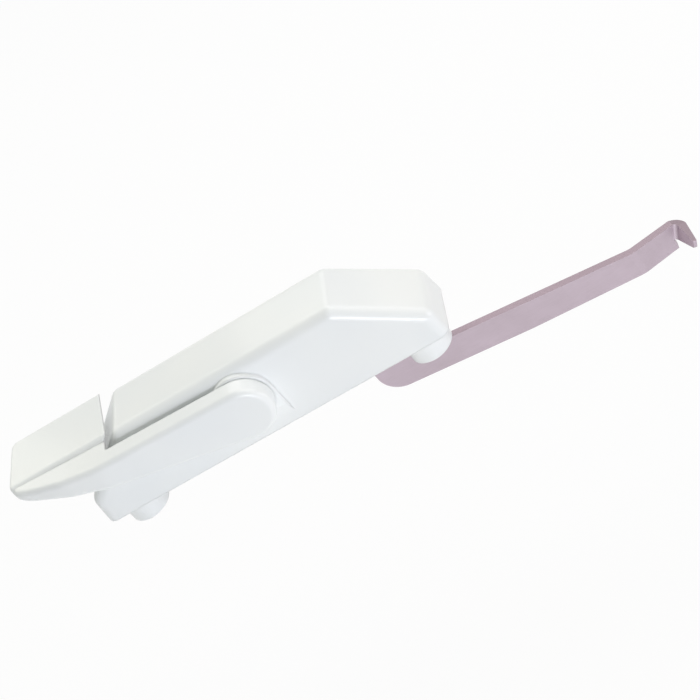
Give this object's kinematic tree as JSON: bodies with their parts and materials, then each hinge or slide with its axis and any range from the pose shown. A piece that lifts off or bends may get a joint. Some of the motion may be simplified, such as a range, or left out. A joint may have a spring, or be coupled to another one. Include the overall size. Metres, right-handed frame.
{
  "type": "sash lock",
  "caption": "White casement sash lock: cast case with two tapped posts, a lever handle on its side and a long bent steel hook arm that the handle pulls through a cam slot.",
  "frame": {"origin": "on the mounting face (the rim of the case), midway between the two tapped posts", "axes": "+X along the case from the grip to the hook, +Y away from the handle side, +Z out of the mounting face towards the flat top of the case"},
  "size_m": [0.1945, 0.0294, 0.0526],
  "materials": {
    "case_enamel": "gloss white enamel",
    "handle_enamel": "gloss white enamel",
    "arm_steel": "zinc-plated stamped steel, dull pink-grey",
    "spindle_steel": "plain turned steel",
    "bushing_brass": "sintered, oiled",
    "spring_steel": "hardened and blued",
    "washer_nylon": "natural nylon"
  },
  "bodies": {
    "case": {"housing": "case_enamel", "spindle_bushing": "bushing_brass", "friction_spring": "spring_steel", "pivot_washer": "washer_nylon", "guide_pin": "spindle_steel", "guide_washer": "washer_nylon", "guide_collar": "washer_nylon"},
    "handle": {"handle": "handle_enamel", "spindle": "spindle_steel", "crank": "spindle_steel", "crank_pin": "spindle_steel", "eye_washers": "washer_nylon"},
    "arm": {"hook_arm": "arm_steel"}
  },
  "joints": [
    {"name": "handle_turn", "type": "hinge", "parent": "case", "child": "handle", "pos_m": [0.0008, 0, 0.0147], "axis": [0, 1, 0], "range_deg": [0, 150]},
    {"name": "arm_swing", "type": "hinge", "parent": "handle", "child": "arm", "pos_m": [-0.00245, 0, 0.01145], "axis": [0, 1, 0], "range_deg": [-130, 0]}
  ],
  "couplings": [
    {"joint": "arm_swing", "follows": "handle_turn", "ratio": -0.86666}
  ]
}
